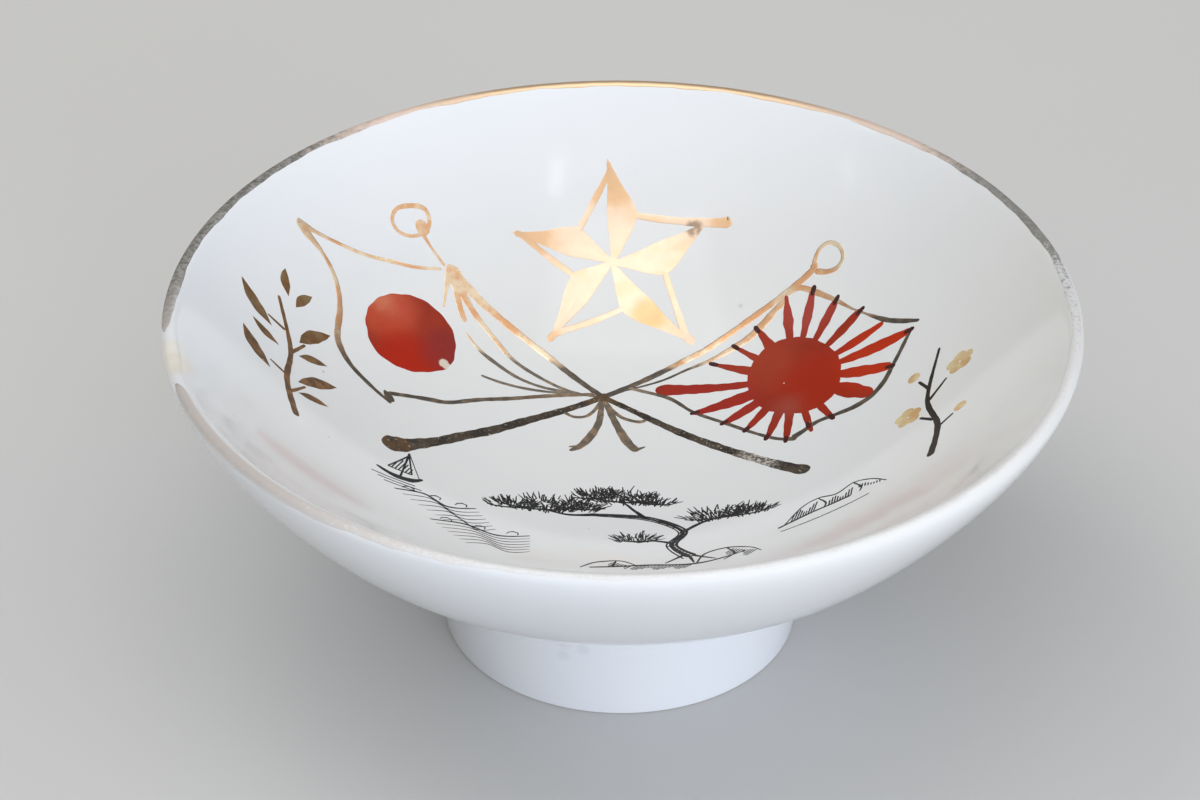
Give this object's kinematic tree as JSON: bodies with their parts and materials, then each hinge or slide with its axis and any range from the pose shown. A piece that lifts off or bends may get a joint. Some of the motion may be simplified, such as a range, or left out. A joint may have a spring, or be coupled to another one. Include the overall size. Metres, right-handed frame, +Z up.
{
  "type": "sake cup",
  "caption": "Shallow footed porcelain sake cup with a gilded lip and a painted inside: gold star, crossed sun flags, side sprigs and a pine drawing.",
  "frame": {"origin": "centre of the foot ring's base, on the surface that the cup stands on", "axes": "+Z up along the turning axis, -Y towards the drinker, who sees the star at the top of the decoration, +X to their right"},
  "size_m": [0.0752, 0.0752, 0.0309],
  "materials": {
    "porcelain": "clear glossy glaze over white porcelain",
    "gilding": "fired liquid gold, bright and thin, lightly rubbed",
    "worn_gilding": "fired liquid gold that reads dark brown, rubbed",
    "red_enamel": "iron red overglaze enamel, uneven, satin gloss",
    "black_enamel": "fine black overglaze line, satin"
  },
  "bodies": {
    "root": {"bowl": "porcelain", "foot_ring": "porcelain", "rim_gilding": "gilding", "star_facet_1": "gilding", "star_facet_2": "gilding", "star_facet_3": "gilding", "star_facet_4": "gilding", "star_facet_5": "gilding", "star_line_1": "gilding", "star_line_2": "gilding", "star_line_3": "gilding", "star_line_4": "gilding", "star_line_5": "gilding", "left_flag_top": "gilding", "left_flag_fly": "worn_gilding", "left_flag_foot": "worn_gilding", "left_sun": "red_enamel", "right_flag_hoist": "worn_gilding", "right_flag_top": "gilding", "right_flag_fly": "worn_gilding", "right_flag_foot": "worn_gilding", "right_sun": "red_enamel", "left_pole_upper": "gilding", "left_pole_lower": "worn_gilding", "right_pole_upper": "gilding", "right_pole_lower": "worn_gilding", "left_finial_ring": "gilding", "left_finial_stem": "gilding", "right_finial_ring": "gilding", "cord_1": "gilding", "cord_2": "gilding", "cord_3": "gilding", "cord_end": "gilding", "bow_knot": "worn_gilding", "bow_loop_left": "worn_gilding", "bow_loop_right": "worn_gilding", "bow_tail_left": "worn_gilding", "bow_tail_right": "worn_gilding", "left_sprig_stem": "worn_gilding", "left_sprig_leaf_1": "worn_gilding", "left_sprig_leaf_2": "worn_gilding", "left_sprig_leaf_3": "worn_gilding", "left_sprig_leaf_4": "worn_gilding", "right_sprig_stem": "black_enamel", "right_sprig_blossom_1": "gilding", "right_sprig_blossom_2": "gilding", "right_sprig_bud_1": "gilding", "right_sprig_bud_2": "gilding", "pine_trunk": "black_enamel", "pine_crown_1": "black_enamel", "pine_crown_2": "black_enamel", "pine_crown_3": "black_enamel", "wave_1": "black_enamel", "wave_2": "black_enamel", "shore": "black_enamel", "far_shore": "black_enamel", "sail": "black_enamel"}
  },
  "joints": []
}
